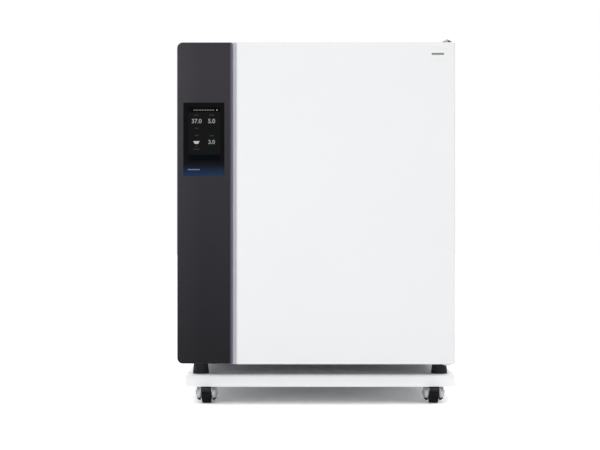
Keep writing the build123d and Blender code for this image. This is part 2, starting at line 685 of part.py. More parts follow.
# The upper pin has a domed collar with a turning stud on it; the lower pin's head is thin.
COLLAR_R = 12.8
COLLAR_Z = (1029.2, 1033.8)
TURNING_STUD_R = 3.2
TURNING_STUD_TOP = 1036.6
THIN_HEAD_R = 9.0
THIN_HEAD_Z = (114.8, 116.8)
PIN_LENGTH = 26.2
with BuildPart() as door_hinge_pins:
    rod("z", HINGE_AXIS, COLLAR_R, COLLAR_Z)
    fillet(door_hinge_pins.edges().sort_by(Axis.Z)[-1], 3.8)
    rod("z", HINGE_AXIS, TURNING_STUD_R, (COLLAR_Z[0], TURNING_STUD_TOP))
    chamfer(door_hinge_pins.edges().sort_by(Axis.Z)[-1], 0.6)
    rod("z", HINGE_AXIS, HINGE_PIN_R, (COLLAR_Z[0] - PIN_LENGTH, COLLAR_Z[0]))
    rod("z", HINGE_AXIS, THIN_HEAD_R, THIN_HEAD_Z)
    fillet(door_hinge_pins.edges().sort_by(Axis.Z)[0], 1)
    rod("z", HINGE_AXIS, HINGE_PIN_R, (THIN_HEAD_Z[1], THIN_HEAD_Z[1] + PIN_LENGTH))
keep(door_hinge_pins, "door_hinge_pins")

with BuildPart() as door_hinge_bushes:
    for bush_z in ((DOOR_BOTTOM, 144), (1002, DOOR_TOP)):
        rod("z", HINGE_AXIS, 8, bush_z)
        rod("z", HINGE_AXIS, HINGE_PIN_R + RUNNING_GAP, bush_z, mode=Mode.SUBTRACT)
keep(door_hinge_bushes, "door_hinge_bushes")

# ---------------------------------------------------------------- back of the cabinet
BOX_X = (-BOX_HALF_W, BOX_HALF_W)
BOX_FRONT = CASE_BACK + 0.2
with BuildPart() as electronics_box:
    block(BOX_X, (BOX_FRONT, BOX_BACK), BOX_Z)
    fillet(electronics_box.edges().filter_by(Axis.Y), 8)
    fillet(electronics_box.faces().sort_by(Axis.Y)[-1].edges(), 3)
    offset(amount=-1.5, openings=electronics_box.faces().sort_by(Axis.Y)[0])
    with BuildSketch(frontal(BOX_FRONT + 1.5)):
        panel((BOX_X[0] - 14, BOX_X[1] + 14), (BOX_Z[0] - 14, BOX_Z[1] + 14), 12)
        panel(
            (BOX_X[0] + 1.5, BOX_X[1] - 1.5),
            (BOX_Z[0] + 1.5, BOX_Z[1] - 1.5),
            6.5,
            mode=Mode.SUBTRACT,
        )
    extrude(amount=1.5)
    # Cooling slots in the sides and in the back face.
    with BuildSketch(Plane.YZ):
        with Locations((middle((BOX_FRONT, BOX_BACK)), 860)):
            with GridLocations(1, 12, 1, 10):
                SlotOverall(30, 4)
    extrude(amount=BOX_HALF_W + 5, both=True, mode=Mode.SUBTRACT)
    with BuildSketch(frontal(BOX_BACK + 5)):
        with Locations((120, 700)):
            with GridLocations(60, 12, 2, 9):
                SlotOverall(48, 4)
        panel(INLET_X, INLET_Z, mode=Mode.ADD)
    extrude(amount=10, mode=Mode.SUBTRACT)
keep(electronics_box, "electronics_box")

with BuildPart() as control_board:
    block((-60, 200), (362, 363.6), (640, 930))
    for x, z, height in ((-20, 880, 24), (60, 900, 14), (150, 880, 18), (20, 790, 30), (150, 760, 12)):
        block((x - 22, x + 22), (363.6, 363.6 + height), (z - 16, z + 16))
    for x in (60, 85, 110):
        rod("y", (x, 830), 9, (363.6, 388))
    for x, z in ((-50, 650), (190, 650), (-50, 920), (190, 920)):
        rod("y", (x, z), 3, (BOX_FRONT - GAP, 362))
keep(control_board, "control_board")

# Mains inlet and power switch in one snap-in module.
SOCKET_X = (-201.0, -173.0)
with BuildPart() as power_inlet:
    block(
        (INLET_X[0] + GAP, INLET_X[1] - GAP),
        (378, BOX_BACK + GAP),
        (INLET_Z[0] + GAP, INLET_Z[1] - GAP),
    )
    block(
        (INLET_X[0] - 3, INLET_X[1] + 3),
        (BOX_BACK + GAP, BOX_BACK + 2),
        (INLET_Z[0] - 3, INLET_Z[1] + 3),
    )
    fillet(power_inlet.edges().filter_by(Axis.Y).group_by(Axis.Y)[-1], 3)
    block(SOCKET_X, (388, BOX_BACK + 2), (627, 649), mode=Mode.SUBTRACT)
    block((ROCKER_X[0] - 1, ROCKER_X[1] + 1), (388, BOX_BACK + 2), (624, 652), mode=Mode.SUBTRACT)
    for pin_x, pin_z in ((-194, 634), (-180, 634), (-187, 642)):
        block((pin_x - 1, pin_x + 1), (387, 403), (pin_z - 3, pin_z + 3))
keep(power_inlet, "power_inlet")

# The rocker is tipped to its ON side at rest.
ROCKER_AXIS = (397.0, 638.0)
with BuildPart() as power_rocker:
    with BuildSketch(Plane.YZ.offset(ROCKER_X[0])):
        with Locations(Location(ROCKER_AXIS, -8)):
            Rectangle(10, 23)
            with Locations((4, 0)):
                Circle(5)
    extrude(amount=length(ROCKER_X))
    rod("x", ROCKER_AXIS, 2, (ROCKER_X[0] - 0.8, ROCKER_X[1] + 0.8))
keep(power_rocker, "power_rocker")

# Two gas inlets: hexagon body, hose nozzle.
GAS_INLETS = ((200.0, 540.0), (200.0, 490.0))
with BuildPart() as gas_inlets:
    for inlet in GAS_INLETS:
        with BuildSketch(frontal(CASE_BACK + 0.2)):
            with Locations(inlet):
                RegularPolygon(9, 6)
        extrude(amount=-9)
        rod("y", inlet, 4, (CASE_BACK + 9, CASE_BACK + 27))
keep(gas_inlets, "gas_inlets")

with BuildPart() as port_plug:
    rod("y", (PORT_X, PORT_Z), PORT_R - 0.4, (262, 356))
    rod("y", (PORT_X, PORT_Z), 27, (CASE_BACK + 0.2, 366))
    fillet(port_plug.edges().filter_by(GeomType.CIRCLE).sort_by(Axis.Y)[-1], 3)
keep(port_plug, "port_plug")

# Low-head screws of the rear cover and of the electronics housing.
with BuildPart() as rear_screws:
    edge_screws = [(sx * 366, z) for sx in (-1, 1) for z in (150, 360, 575, 790, 1000)]
    edge_screws += [(x, z) for x in (-120, 120) for z in (137, 1013)]
    box_screws = [(sx * 237, z) for sx in (-1, 1) for z in (620, 780, 940)]
    for screws, seat in ((edge_screws, CASE_BACK + 0.05), (box_screws, BOX_FRONT + 1.55)):
        for centre in screws:
            rod("y", centre, 4.5, (seat, seat + 2.2))
    outer_rims = rear_screws.edges().filter_by(GeomType.CIRCLE).group_by(Axis.Y)
    fillet(outer_rims[-1] + outer_rims[-2], 1)
keep(rear_screws, "rear_screws")
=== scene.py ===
"""Looks, light and camera for the laboratory incubator on its roller stand."""
import math

import bmesh
import bpy
from mathutils import Matrix, Vector


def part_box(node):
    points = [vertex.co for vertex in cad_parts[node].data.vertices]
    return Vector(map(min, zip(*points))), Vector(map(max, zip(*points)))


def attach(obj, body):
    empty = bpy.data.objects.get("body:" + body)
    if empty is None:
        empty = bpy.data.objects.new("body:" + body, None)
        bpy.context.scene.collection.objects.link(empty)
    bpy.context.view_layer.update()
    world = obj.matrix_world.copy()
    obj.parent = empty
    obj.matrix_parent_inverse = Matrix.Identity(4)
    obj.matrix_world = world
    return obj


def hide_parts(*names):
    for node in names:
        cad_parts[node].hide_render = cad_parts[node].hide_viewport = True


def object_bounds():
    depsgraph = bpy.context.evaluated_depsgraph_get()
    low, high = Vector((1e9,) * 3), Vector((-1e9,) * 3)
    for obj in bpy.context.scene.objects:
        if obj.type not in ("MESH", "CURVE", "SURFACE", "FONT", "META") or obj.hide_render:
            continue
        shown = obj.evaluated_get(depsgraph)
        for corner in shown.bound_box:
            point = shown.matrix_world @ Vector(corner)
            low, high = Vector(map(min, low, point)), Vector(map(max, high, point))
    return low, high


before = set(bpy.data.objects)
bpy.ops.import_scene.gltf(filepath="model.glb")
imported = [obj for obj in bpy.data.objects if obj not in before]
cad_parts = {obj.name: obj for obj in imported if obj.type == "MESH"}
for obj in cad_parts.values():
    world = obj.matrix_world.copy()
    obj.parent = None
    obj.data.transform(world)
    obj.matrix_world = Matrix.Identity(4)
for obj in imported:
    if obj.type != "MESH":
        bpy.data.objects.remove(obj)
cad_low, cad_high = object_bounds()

MM = 0.001


# ---------------------------------------------------------------- material nodes
class Finish:
    """One material: a principled shader and the procedural nodes that feed it.

    Textures use object coordinates, in metres, so a texture scale is in features per metre and
    stays on its piece when the piece moves.
    """

    def __init__(self, name, color=(0.8, 0.8, 0.8), roughness=0.5, metallic=0.0, specular=0.5):
        self.material = bpy.data.materials.new(name)
        self.material.use_nodes = True
        self.tree = self.material.node_tree
        self.shader = self.tree.nodes["Principled BSDF"]
        self.place = self.add("ShaderNodeTexCoord").outputs["Object"]
        self.put("Base Color", color)
        self.put("Roughness", roughness)
        self.put("Metallic", metallic)
        self.put("Specular IOR Level", specular)

    def add(self, kind, **settings):
        node = self.tree.nodes.new(kind)
        for key, value in settings.items():
            setattr(node, key, value)
        return node

    def feed(self, socket, value):
        """Connects a socket, or sets a number or a colour."""
        if isinstance(value, bpy.types.NodeSocket):
            self.tree.links.new(value, socket)
        elif isinstance(value, (tuple, list)) and len(value) == 3 and socket.type == "RGBA":
            socket.default_value = (*value, 1.0)
        else:
            socket.default_value = value

    def put(self, name, value):
        self.feed(self.shader.inputs[name], value)

    def math(self, operation, a, b=0.0, clamp=False):
        node = self.add("ShaderNodeMath", operation=operation, use_clamp=clamp)
        self.feed(node.inputs[0], a)
        self.feed(node.inputs[1], b)
        return node.outputs[0]

    def stretched(self, factors):
        node = self.add("ShaderNodeVectorMath", operation="MULTIPLY")
        self.feed(node.inputs[0], self.place)
        node.inputs[1].default_value = factors
        return node.outputs[0]

    def axis(self, name):
        node = self.add("ShaderNodeSeparateXYZ")
        self.feed(node.inputs[0], self.place)
        return node.outputs[name]

    def noise(self, scale, detail=2.0, stretch=None, roughness=0.5):
        node = self.add("ShaderNodeTexNoise")
        self.feed(node.inputs["Vector"], self.stretched(stretch) if stretch else self.place)
        node.inputs["Scale"].default_value = scale
        node.inputs["Detail"].default_value = detail
        node.inputs["Roughness"].default_value = roughness
        return node.outputs["Fac"]

    def cells(self, scale, output="Distance", stretch=None):
        node = self.add("ShaderNodeTexVoronoi")
        self.feed(node.inputs["Vector"], self.stretched(stretch) if stretch else self.place)
        node.inputs["Scale"].default_value = scale
        return node.outputs[output]

    def rescale(self, value, low, high, to_low=0.0, to_high=1.0):
        """Maps low..high to to_low..to_high, clamped."""
        node = self.add("ShaderNodeMapRange")
        for socket, given in zip(node.inputs, (value, low, high, to_low, to_high)):
            self.feed(socket, given)
        return node.outputs["Result"]

    def mix(self, factor, a, b):
        """Mixes two colours."""
        node = self.add("ShaderNodeMix", data_type="RGBA")
        self.feed(node.inputs["Factor"], factor)
        self.feed(node.inputs[6], a)
        self.feed(node.inputs[7], b)
        return node.outputs[2]

    def relief(self, height, depth, edge=0.0):
        """Bump of a given depth in metres, over edges softened by a radius in metres."""
        node = self.add("ShaderNodeBump")
        node.inputs["Strength"].default_value = 1.0
        node.inputs["Distance"].default_value = depth
        self.feed(node.inputs["Height"], height)
        if edge:
            rounded = self.add("ShaderNodeBevel", samples=4)
            rounded.inputs["Radius"].default_value = edge
            self.feed(node.inputs["Normal"], rounded.outputs[0])
        self.put("Normal", node.outputs[0])

    def between(self, value, low, high):
        """1 where value lies between two limits, 0 elsewhere."""
        above = self.math("GREATER_THAN", value, low)
        return self.math("MULTIPLY", above, self.math("LESS_THAN", value, high))

    def radius(self, centre, across):
        """Distance from an axis through centre, measured across two axes, such as "YZ"."""
        squares = [
            self.math("POWER", self.math("SUBTRACT", self.axis(name), centre["XYZ".index(name)]), 2.0)
            for name in across
        ]
        return self.math("SQRT", self.math("ADD", *squares))


def shade(color, factor):
    return tuple(channel * factor for channel in color)


# ---------------------------------------------------------------- finishes
WHITE = (0.79, 0.793, 0.80)
# Lilac grey for the painted shade in the door's reveal beside the control strip.
GROOVE_SHADE_GREY = (0.515, 0.505, 0.57)


def powder_coat(name, color, gloss=0.4, shaded_groove=None, painted_light_beyond=None):
    """Baked powder paint: faint orange peel, soft edges, barely uneven tone.

    shaded_groove gives the X limits of a strip painted in a lilac grey: painted shade in the reveal
    beside the control strip. Beyond painted_light_beyond, on both sides of the middle, level faces are
    painted brighter for the camera: painted light, as on the floor.
    """
    coat = Finish(name, roughness=gloss, specular=0.42)
    tone = coat.noise(3.0, detail=3.0)
    paint = coat.mix(tone, shade(color, 0.985), shade(color, 1.01))
    if shaded_groove:
        # Painted shade: the strip in the reveal is painted lilac grey.
        paint = coat.mix(coat.between(coat.axis("X"), *shaded_groove), paint, GROOVE_SHADE_GREY)
    if painted_light_beyond:
        # Painted light: level faces beyond the limit are painted half again as bright, for the camera
        # only.
        facing = coat.add("ShaderNodeSeparateXYZ")
        coat.feed(facing.inputs[0], coat.add("ShaderNodeNewGeometry").outputs["Normal"])
        level = coat.rescale(facing.outputs["Z"], 0.7, 0.95)
        seen = coat.math("MULTIPLY", level, coat.add("ShaderNodeLightPath").outputs["Is Camera Ray"])
        across = coat.math("ABSOLUTE", coat.axis("X"))
        beyond = coat.rescale(across, painted_light_beyond - 0.006, painted_light_beyond + 0.004)
        paint = coat.mix(coat.math("MULTIPLY", seen, beyond), paint, shade(color, 1.5))
    coat.put("Base Color", paint)
    coat.put("Roughness", coat.rescale(coat.noise(60.0), 0.3, 0.7, gloss - 0.04, gloss + 0.05))
    coat.relief(coat.noise(520.0, detail=2.5), 0.00005, edge=0.0009)
    return coat.material


def control_strip_finish():
    """Warm near-black moulded panel, with painted sheen towards its top and its outer edge, and a
    painted highlight on its inner edge.
    """
    low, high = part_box("control_panel")
    strip = Finish("control_strip", roughness=0.42, specular=0.24)
    # Painted sheen: the panel runs from near black at its foot to a lighter dark grey at its top.
    rise = strip.rescale(strip.axis("Z"), low.z, high.z)
    body = strip.mix(strip.rescale(rise, 0.0, 0.55), (0.0045, 0.0043, 0.007), (0.019, 0.018, 0.024))
    body = strip.mix(strip.rescale(rise, 0.55, 0.90), body, (0.030, 0.027, 0.033))
    # Painted sheen: a paler band along the outer edge, paler towards the top.
    outer = strip.rescale(strip.axis("X"), low.x, low.x + 0.07, 1.0, 0.0)
    outer_sheen = strip.math("MULTIPLY", outer, strip.rescale(rise, 0.0, 1.0, 0.06, 0.22))
    body = strip.mix(outer_sheen, body, (0.075, 0.071, 0.076))
    # Painted highlight: the inner rounded edge is painted a lighter grey.
    inner_highlight = strip.math("POWER", strip.rescale(strip.axis("X"), high.x - 0.009, high.x), 1.5)
    body = strip.mix(inner_highlight, body, (0.20, 0.195, 0.23))
    strip.put("Base Color", body)
    strip.put("Roughness", strip.rescale(strip.noise(900.0), 0.3, 0.7, 0.38, 0.5))
    strip.relief(strip.noise(1500.0, detail=1.0), 0.00004, edge=0.0006)
    return strip.material


def moulded(name, color, roughness=0.55, grain=900.0, depth=0.00006, mottle=0.15):
    """Moulded plastic or rubber with a fine spark-eroded grain."""
    plastic = Finish(name, roughness=roughness, specular=0.4)
    tone = plastic.noise(25.0, detail=4.0)
    body = plastic.mix(tone, shade(color, 1.0 - mottle), shade(color, 1.0 + mottle))
    plastic.put("Base Color", body)
    spread = (roughness - 0.08, min(roughness + 0.1, 1.0))
    plastic.put("Roughness", plastic.rescale(plastic.noise(45.0), 0.3, 0.7, *spread))
    plastic.relief(plastic.noise(grain, detail=2.0), depth, edge=0.0006)
    return plastic.material


def brushed(name, along, color=(0.60, 0.60, 0.59), roughness=0.3):
    """Brushed stainless sheet: the brush marks run along one axis."""
    steel = Finish(name, metallic=1.0, specular=0.5)
    squeeze = [1.0 if axis == along else 40.0 for axis in "XYZ"]
    marks = steel.noise(22.0, detail=5.0, stretch=squeeze, roughness=0.65)
    smear = steel.noise(6.0, detail=3.0)
    steel.put("Base Color", steel.mix(marks, shade(color, 0.88), shade(color, 1.09)))
    wear = steel.math("MULTIPLY_ADD", marks, 0.16)
    wear.node.inputs[2].default_value = roughness - 0.08
    steel.put("Roughness", steel.math("ADD", wear, steel.rescale(smear, 0.4, 0.7, 0.0, 0.05)))
    steel.relief(marks, 0.00003, edge=0.0006)
    return steel.material


def plated(name, color=(0.62, 0.63, 0.66), roughness=0.28):
    """Zinc-plated steel: cloudy sheen with fine speckle."""
    zinc = Finish(name, metallic=1.0)
    cloud = zinc.noise(90.0, detail=6.0, roughness=0.6)
    zinc.put("Base Color", zinc.mix(cloud, shade(color, 0.8), shade(color, 1.15)))
    zinc.put("Roughness", zinc.rescale(cloud, 0.3, 0.7, roughness - 0.06, roughness + 0.14))
    zinc.relief(zinc.noise(700.0), 0.00003, edge=0.0006)
    return zinc.material


def caster_cover_finish():
    """Silver-painted caster covers, with painted shade darkening their lowest edge."""
    cover = Finish("caster_cover", metallic=0.85)
    cloud = cover.noise(90.0, detail=6.0, roughness=0.6)
    silver = cover.mix(cloud, (0.56, 0.57, 0.59), (0.76, 0.77, 0.79))
    # Painted shade: the covers turn near black below a ragged line about 17 to 20 mm above the floor.
    ragged = cover.math("MULTIPLY_ADD", cloud, 0.004)
    cover.feed(ragged.node.inputs[2], cover.axis("Z"))
    shaded_skirt = cover.rescale(ragged, 0.0165, 0.0205, 1.0, 0.0)
    cover.put("Base Color", cover.mix(shaded_skirt, silver, (0.03, 0.03, 0.032)))
    cover.put("Roughness", cover.rescale(cloud, 0.3, 0.7, 0.30, 0.46))
    cover.relief(cover.noise(700.0), 0.00003, edge=0.0006)
    return cover.material


def hinge_bracket_finish():
    """Bare steel upper bracket; the lower one is painted with the case."""
    low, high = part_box("door_hinge_brackets")
    bracket = Finish("hinge_bracket", roughness=0.4)
    cloud = bracket.noise(90.0, detail=6.0, roughness=0.6)
    upper = bracket.math("GREATER_THAN", bracket.axis("Z"), (low.z + high.z) / 2)
    steel = bracket.mix(cloud, (0.46, 0.46, 0.47), (0.66, 0.66, 0.67))
    bracket.put("Base Color", bracket.mix(upper, WHITE, steel))
    bracket.put("Metallic", upper)
    bracket.relief(bracket.noise(700.0), 0.00003, edge=0.0006)
    return bracket.material


def hinge_pin_finish():
    """Pale steel pins; the upper one's turning stud is blackened, and painted shade darkens the right
    of its collar.
    """
    low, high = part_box("door_hinge_pins")
    centre = (low + high) / 2
    pin = Finish("hinge_pin", metallic=1.0)
    cloud = pin.noise(120.0, detail=5.0, roughness=0.6)
    steel = pin.mix(cloud, (0.48, 0.48, 0.49), (0.66, 0.66, 0.67))
    stud = pin.math("LESS_THAN", pin.radius(centre, "XY"), 0.0036)
    # The slot mask is painted shade: a band on the right half of the upper collar, painted near black
    # like the blackened stud.
    slot = pin.between(pin.axis("X"), centre.x + 0.001, centre.x + 0.007)
    dark = pin.math("MULTIPLY", pin.math("MAXIMUM", stud, slot),
                    pin.math("GREATER_THAN", pin.axis("Z"), centre.z))
    pin.put("Base Color", pin.mix(dark, steel, (0.02, 0.02, 0.021)))
    pin.put("Roughness", pin.rescale(cloud, 0.3, 0.7, 0.28, 0.44))
    pin.relief(pin.noise(700.0), 0.00003, edge=0.0004)
    return pin.material


def galvanised_finish():
    """Hot-dip galvanised sheet with its spangle."""
    sheet = Finish("galvanised_sheet", metallic=1.0)
    spangle = sheet.cells(110.0, output="Color")
    grey = sheet.add("ShaderNodeRGBToBW")
    sheet.feed(grey.inputs[0], spangle)
    tone = grey.outputs[0]
    sheet.put("Base Color", sheet.mix(tone, (0.42, 0.44, 0.46), (0.66, 0.68, 0.70)))
    sheet.put("Roughness", sheet.rescale(tone, 0.0, 1.0, 0.32, 0.52))
    sheet.relief(tone, 0.00003)
    return sheet.material


def cut_foam_finish():
    """Rigid polyurethane foam: small open cells, yellowed in patches."""
    foam = Finish("cut_foam", roughness=0.95, specular=0.1)
    patches = foam.noise(14.0, detail=5.0)
    foam.put("Base Color", foam.mix(patches, (0.74, 0.62, 0.36), (0.86, 0.78, 0.55)))
    foam.relief(foam.cells(900.0), 0.0004)
    return foam.material


def clear_glass_finish():
    """Tempered glass: nearly clear face on, bright at a glancing angle, green at its edges."""
    glass = Finish("tempered_glass", roughness=0.02, specular=0.6)
    facing = glass.add("ShaderNodeLayerWeight")
    facing.inputs["Blend"].default_value = 0.5
    grazing = glass.math("POWER", facing.outputs["Facing"], 4.0)
    normal = glass.add("ShaderNodeSeparateXYZ")
    glass.feed(normal.inputs[0], glass.add("ShaderNodeTexCoord").outputs["Normal"])
    edge = glass.math("SUBTRACT", 1.0, glass.math("ABSOLUTE", normal.outputs["Y"]), clamp=True)
    glass.put("Base Color", glass.mix(edge, (0.62, 0.80, 0.74), (0.12, 0.42, 0.33)))
    sheen = glass.rescale(grazing, 0.0, 1.0, 0.06, 0.85)
    glass.put("Alpha", glass.math("MAXIMUM", sheen, glass.math("MULTIPLY", edge, 0.9)))
    smears = glass.noise(9.0, detail=4.0)
    glass.put("Roughness", glass.rescale(smears, 0.45, 0.75, 0.015, 0.07))
    return glass.material


def display_glass_finish():
    """Black bezel glass; its lower end is printed with a deep blue fade."""
    low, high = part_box("display_glass")
    bezel = Finish("display_bezel", roughness=0.06, specular=0.12)
    fade = bezel.rescale(bezel.axis("Z"), low.z, low.z + 0.19 * (high.z - low.z), 1.0, 0.0)
    fade = bezel.math("POWER", fade, 1.3)
    side = bezel.rescale(bezel.axis("X"), low.x, high.x)
    blue = bezel.mix(side, (0.013, 0.028, 0.078), (0.015, 0.032, 0.070))
    bezel.put("Base Color", bezel.mix(fade, (0.0022, 0.0022, 0.0028), blue))
    bezel.put("Roughness", bezel.rescale(bezel.noise(30.0, detail=4.0), 0.4, 0.8, 0.04, 0.14))
    return bezel.material


def circuit_finish():
    """Green solder mask with lighter tracks and tinned pads."""
    board = Finish("circuit_board", roughness=0.35)
    tracks = board.cells(260.0, stretch=(1.0, 1.0, 0.35))
    body = board.mix(board.rescale(tracks, 0.28, 0.34), (0.02, 0.16, 0.06), (0.008, 0.075, 0.03))
    pads = board.rescale(board.cells(150.0), 0.1, 0.13, 1.0, 0.0)
    board.put("Base Color", board.mix(pads, body, (0.62, 0.6, 0.5)))
    board.put("Metallic", board.math("MULTIPLY", pads, 0.8))
    board.relief(tracks, 0.0001)
    return board.material


def filter_finish():
    """Filter can: white moulded rim, and pleated paper inside it, with painted shade in its folds."""
    low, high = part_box("hepa_filter")
    centre = (low + high) / 2
    rim_start = 0.82 * (high.x - low.x) / 2
    media = Finish("filter_media", roughness=0.85, specular=0.15)
    distance = media.radius(centre, "XZ")
    rim = media.rescale(distance, rim_start, rim_start + 0.001)
    pleats = media.math("SINE", media.math("MULTIPLY", media.axis("X"), 2 * math.pi / 0.0045))
    # Painted shade: the paper is painted darker in every other pleat, along with the pleats' bump.
    paper = media.mix(media.rescale(pleats, -1.0, 1.0), (0.45, 0.44, 0.40), (0.86, 0.85, 0.80))
    media.put("Base Color", media.mix(rim, paper, (0.80, 0.81, 0.82)))
    inside = media.math("SUBTRACT", 1.0, rim)
    media.relief(media.math("MULTIPLY", pleats, inside), 0.0012, edge=0.0006)
    return media.material


def turned_brass_finish():
    brass = Finish("turned_brass", metallic=1.0)
    rings = brass.noise(30.0, detail=4.0, stretch=(1.0, 60.0, 1.0))
    brass.put("Base Color", brass.mix(rings, (0.52, 0.34, 0.10), (0.82, 0.60, 0.24)))
    brass.put("Roughness", brass.rescale(rings, 0.3, 0.7, 0.18, 0.34))
    brass.relief(rings, 0.00004, edge=0.0004)
    return brass.material


def caster_wheel_finish(node):
    """Black rolling surface with scuffs, and a dark grey hub inside it."""
    low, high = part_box(node)
    centre = (low + high) / 2
    wheel = Finish(f"{node}_finish", roughness=0.6, specular=0.2)
    hub_radius, blend = 20.0 * MM, 0.2 * MM
    distance = wheel.radius(centre, "YZ")
    hub = wheel.rescale(distance, hub_radius - blend, hub_radius + blend, 1.0, 0.0)
    scuff = wheel.rescale(wheel.noise(160.0, detail=7.0, roughness=0.7), 0.52, 0.72, 0.0, 0.35)
    tread = wheel.mix(scuff, (0.004, 0.004, 0.0045), (0.03, 0.029, 0.027))
    wheel.put("Base Color", wheel.mix(hub, tread, (0.06, 0.062, 0.066)))
    wheel.relief(wheel.noise(500.0, detail=3.0), 0.00008, edge=0.0006)
    return wheel.material


def levelling_foot_finish():
    """Black rubber-sleeved foot; the stud above it is threaded steel."""
    stud_length = 22.0 * MM
    sleeve_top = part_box("levelling_foot_fl")[1].z - stud_length
    foot = Finish("levelling_foot", roughness=0.6, specular=0.3)
    stud = foot.rescale(foot.axis("Z"), sleeve_top, sleeve_top + 0.0002)
    tone = foot.noise(60.0, detail=4.0)
    rubber = foot.mix(tone, (0.0085, 0.0085, 0.010), (0.014, 0.014, 0.016))
    foot.put("Base Color", foot.mix(stud, rubber, (0.55, 0.56, 0.58)))
    foot.put("Metallic", stud)
    foot.put("Roughness", foot.rescale(stud, 0.0, 1.0, 0.62, 0.3))
    thread = foot.math("SINE", foot.math("MULTIPLY", foot.axis("Z"), 2 * math.pi / 0.0015))
    grain = foot.math("MULTIPLY", foot.noise(700.0), 0.15)
    foot.relief(foot.math("ADD", foot.math("MULTIPLY", thread, stud), grain), 0.0004, edge=0.0005)
    return foot.material


def probe_finish():
    """Steel probe bodies with sintered tips."""
    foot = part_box("sensor_probes")[0].z
    probe = Finish("sensor_probe", metallic=1.0)
    tip = probe.rescale(probe.axis("Z"), foot + 0.03, foot + 0.032, 1.0, 0.0)
    grit = probe.cells(1400.0)
    body = probe.mix(tip, (0.62, 0.62, 0.61), (0.40, 0.38, 0.34))
    probe.put("Base Color", body)
    probe.put("Roughness", probe.rescale(tip, 0.0, 1.0, 0.25, 0.7))
    probe.relief(probe.math("MULTIPLY", grit, tip), 0.0005, edge=0.0005)
    return probe.material


def enamel(name, color, glow=0.0):
    """Flat printed or lit colour with a trace of unevenness."""
    ink = Finish(name, roughness=0.4, specular=0.2)
    body = ink.mix(ink.noise(400.0, detail=2.0), shade(color, 0.94), shade(color, 1.04))
    ink.put("Base Color", (0.0, 0.0, 0.0) if glow else body)
    if glow:
        ink.put("Emission Color", body)
        ink.put("Emission Strength", glow)
        ink.put("Specular IOR Level", 0.0)
    return ink.material


white_paint = powder_coat("white_powder_coat", WHITE)
door_paint_and_groove_shade = powder_coat("door_powder_coat_and_groove_shade", WHITE, shaded_groove=(-0.2470, -0.2368))
feet_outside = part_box("levelling_foot_fr")[1].x
# The stand's white is a brighter copy of the case white: partly a whiter paint, partly painted light
# for its front shaded under the cabinet. Its ends also carry painted light.
stand_paint_and_light = powder_coat("stand_powder_coat_and_painted_light", shade(WHITE, 1.235), painted_light_beyond=feet_outside)
stainless_x = brushed("brushed_steel_across", "X")
stainless_y = brushed("brushed_steel_deep", "Y")
stainless_z = brushed("brushed_steel_upright", "Z")
polished_liner = brushed("chamber_steel", "Z", color=(0.66, 0.66, 0.65), roughness=0.24)
zinc = plated("zinc_plate")
caster_silver_and_shade = caster_cover_finish()
black_plastic = moulded("black_plastic", (0.013, 0.013, 0.015))
white_plastic = moulded(
    "white_plastic", (0.79, 0.80, 0.81), roughness=0.42, depth=0.00004, mottle=0.012
)
grey_seal = moulded("grey_seal", (0.22, 0.23, 0.24), roughness=0.6)
motor_paint = moulded("motor_paint", (0.10, 0.11, 0.12), roughness=0.5, grain=300.0, depth=0.0002)
silicone = moulded("silicone", (0.52, 0.50, 0.46), roughness=0.5)

CAD_FINISHES = {
    white_paint: ["outer_case", "rear_cover", "electronics_box"],
    door_paint_and_groove_shade: ["door_skin"],
    stand_paint_and_light: ["stand_tray"],
    galvanised_finish(): ["base_pan"],
    white_plastic: ["front_frame", "door_liner"],
    polished_liner: ["inner_chamber"],
    stainless_x: ["shelf_1", "shelf_2", "shelf_3"],
    stainless_y: ["shelf_runners", "water_pan"],
    stainless_z: ["air_plenum", "shelf_uprights"],
    cut_foam_finish(): ["insulation_jacket", "door_insulation"],
    grey_seal: ["chamber_seal", "door_gasket"],
    silicone: ["port_plug"],
    clear_glass_finish(): ["glass_pane"],
    display_glass_finish(): ["display_glass"],
    control_strip_finish(): ["control_panel"],
    circuit_finish(): ["control_board", "display_module"],
    filter_finish(): ["hepa_filter"],
    turned_brass_finish(): ["gas_inlets"],
    probe_finish(): ["sensor_probes"],
    motor_paint: ["fan_motor"],
    black_plastic: ["fan_impeller", "glass_latch", "power_inlet", "power_rocker", "door_hinge_bushes"],
    zinc: [
        "caster_plates", "glass_hinge_leaves", "glass_hinge_brackets", "latch_keeper", "rear_screws",
    ],
    hinge_bracket_finish(): ["door_hinge_brackets"],
    hinge_pin_finish(): ["door_hinge_pins"],
    levelling_foot_finish(): [f"levelling_foot_{corner}" for corner in ("fl", "fr", "rl", "rr")],
}


def dress(node, material):
    """Gives a CAD node its finish."""
    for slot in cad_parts[node].material_slots:
        slot.material = material


for finish, nodes in CAD_FINISHES.items():
    for node in nodes:
        dress(node, finish)
for corner in ("fl", "fr", "rl", "rr"):
    dress(f"caster_{corner}_fork", caster_silver_and_shade)
    dress(f"caster_{corner}_axle", zinc)
    dress(f"caster_{corner}_wheel", caster_wheel_finish(f"caster_{corner}_wheel"))
for corner in ("fl", "fr"):
    dress(f"caster_{corner}_pedal", black_plastic)


# ---------------------------------------------------------------- mesh helpers
def piece(name, verts, faces, material, body, smooth=None):
    """A new mesh object that rides on a body; smooth is the sharp-edge angle in degrees."""
    mesh = bpy.data.meshes.new(name)
    mesh.from_pydata(verts, [], faces)
    mesh.materials.append(material)
    cleaned = bmesh.new()
    cleaned.from_mesh(mesh)
    bmesh.ops.recalc_face_normals(cleaned, faces=cleaned.faces)
    cleaned.to_mesh(mesh)
    cleaned.free()
    obj = bpy.data.objects.new(name, mesh)
    bpy.context.scene.collection.objects.link(obj)
    if smooth:
        mesh.shade_smooth()
        mesh.set_sharp_from_angle(angle=math.radians(smooth))
    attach(obj, body)
    return obj


